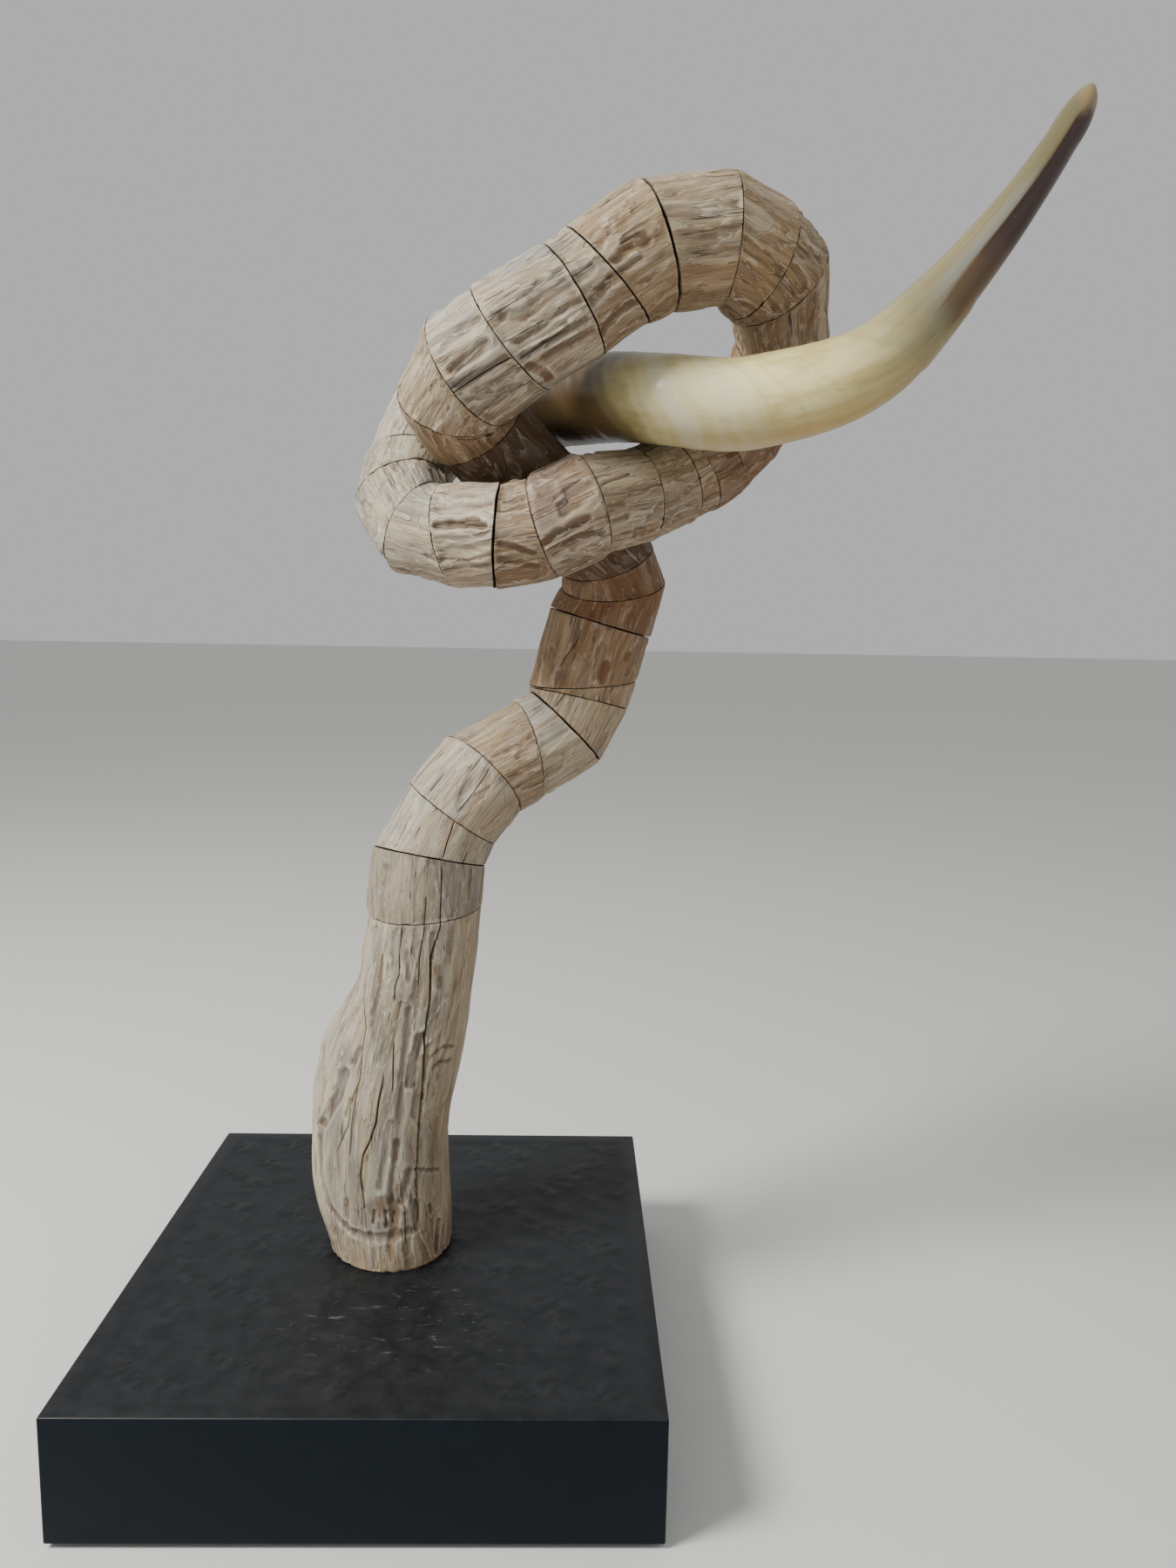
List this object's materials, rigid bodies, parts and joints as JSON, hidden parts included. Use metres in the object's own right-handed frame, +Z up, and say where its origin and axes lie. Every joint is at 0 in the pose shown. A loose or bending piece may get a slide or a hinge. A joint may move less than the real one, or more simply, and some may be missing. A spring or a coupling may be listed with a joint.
{
  "type": "mounted steer horn",
  "caption": "Polished steer horn that grows out of a looped, knotted limb of wedge-cut driftwood logs, mounted on a square black plinth with felt feet.",
  "frame": {"origin": "the floor point under the middle of the whole object's outline; the plinth's centre is 120.5 mm to the left of it, because the horn reaches far past the plinth on the right", "axes": "+Z up; +X to the right as the front is seen, the way the horn's tip points; +Y away from the front, to the back of the plinth"},
  "size_m": [0.6009, 0.36, 0.8551],
  "materials": {
    "driftwood": "weathered, bare, sanded at the cuts",
    "horn": "polished horn, clear gloss",
    "black_paint": "trowelled, painted black, satin",
    "felt": "felt"
  },
  "bodies": {
    "root": {"plinth": "black_paint", "foot_pad_front_left": "felt", "foot_pad_front_right": "felt", "foot_pad_back_left": "felt", "foot_pad_back_right": "felt", "trunk_foot": "driftwood", "trunk_slice_01": "driftwood", "trunk_slice_02": "driftwood", "trunk_slice_03": "driftwood", "trunk_slice_04": "driftwood", "trunk_slice_05": "driftwood", "trunk_slice_06": "driftwood", "trunk_slice_07": "driftwood", "trunk_slice_08": "driftwood", "trunk_slice_09": "driftwood", "trunk_slice_10": "driftwood", "inner_slice_01": "driftwood", "inner_slice_02": "driftwood", "inner_slice_03": "driftwood", "turn_slice_01": "driftwood", "turn_slice_02": "driftwood", "top_slice_01": "driftwood", "top_slice_02": "driftwood", "top_slice_03": "driftwood", "top_slice_04": "driftwood", "top_slice_05": "driftwood", "bend_slice_01": "driftwood", "bend_slice_02": "driftwood", "bend_slice_03": "driftwood", "right_slice_01": "driftwood", "right_slice_02": "driftwood", "right_slice_03": "driftwood", "right_slice_04": "driftwood", "front_slice_01": "driftwood", "front_slice_02": "driftwood", "front_slice_03": "driftwood", "front_slice_04": "driftwood", "front_slice_05": "driftwood", "front_slice_06": "driftwood", "end_slice_01": "driftwood", "end_slice_02": "driftwood", "end_slice_03": "driftwood", "back_slice_01": "driftwood", "back_slice_02": "driftwood", "back_slice_03": "driftwood", "horn": "horn"}
  },
  "joints": []
}
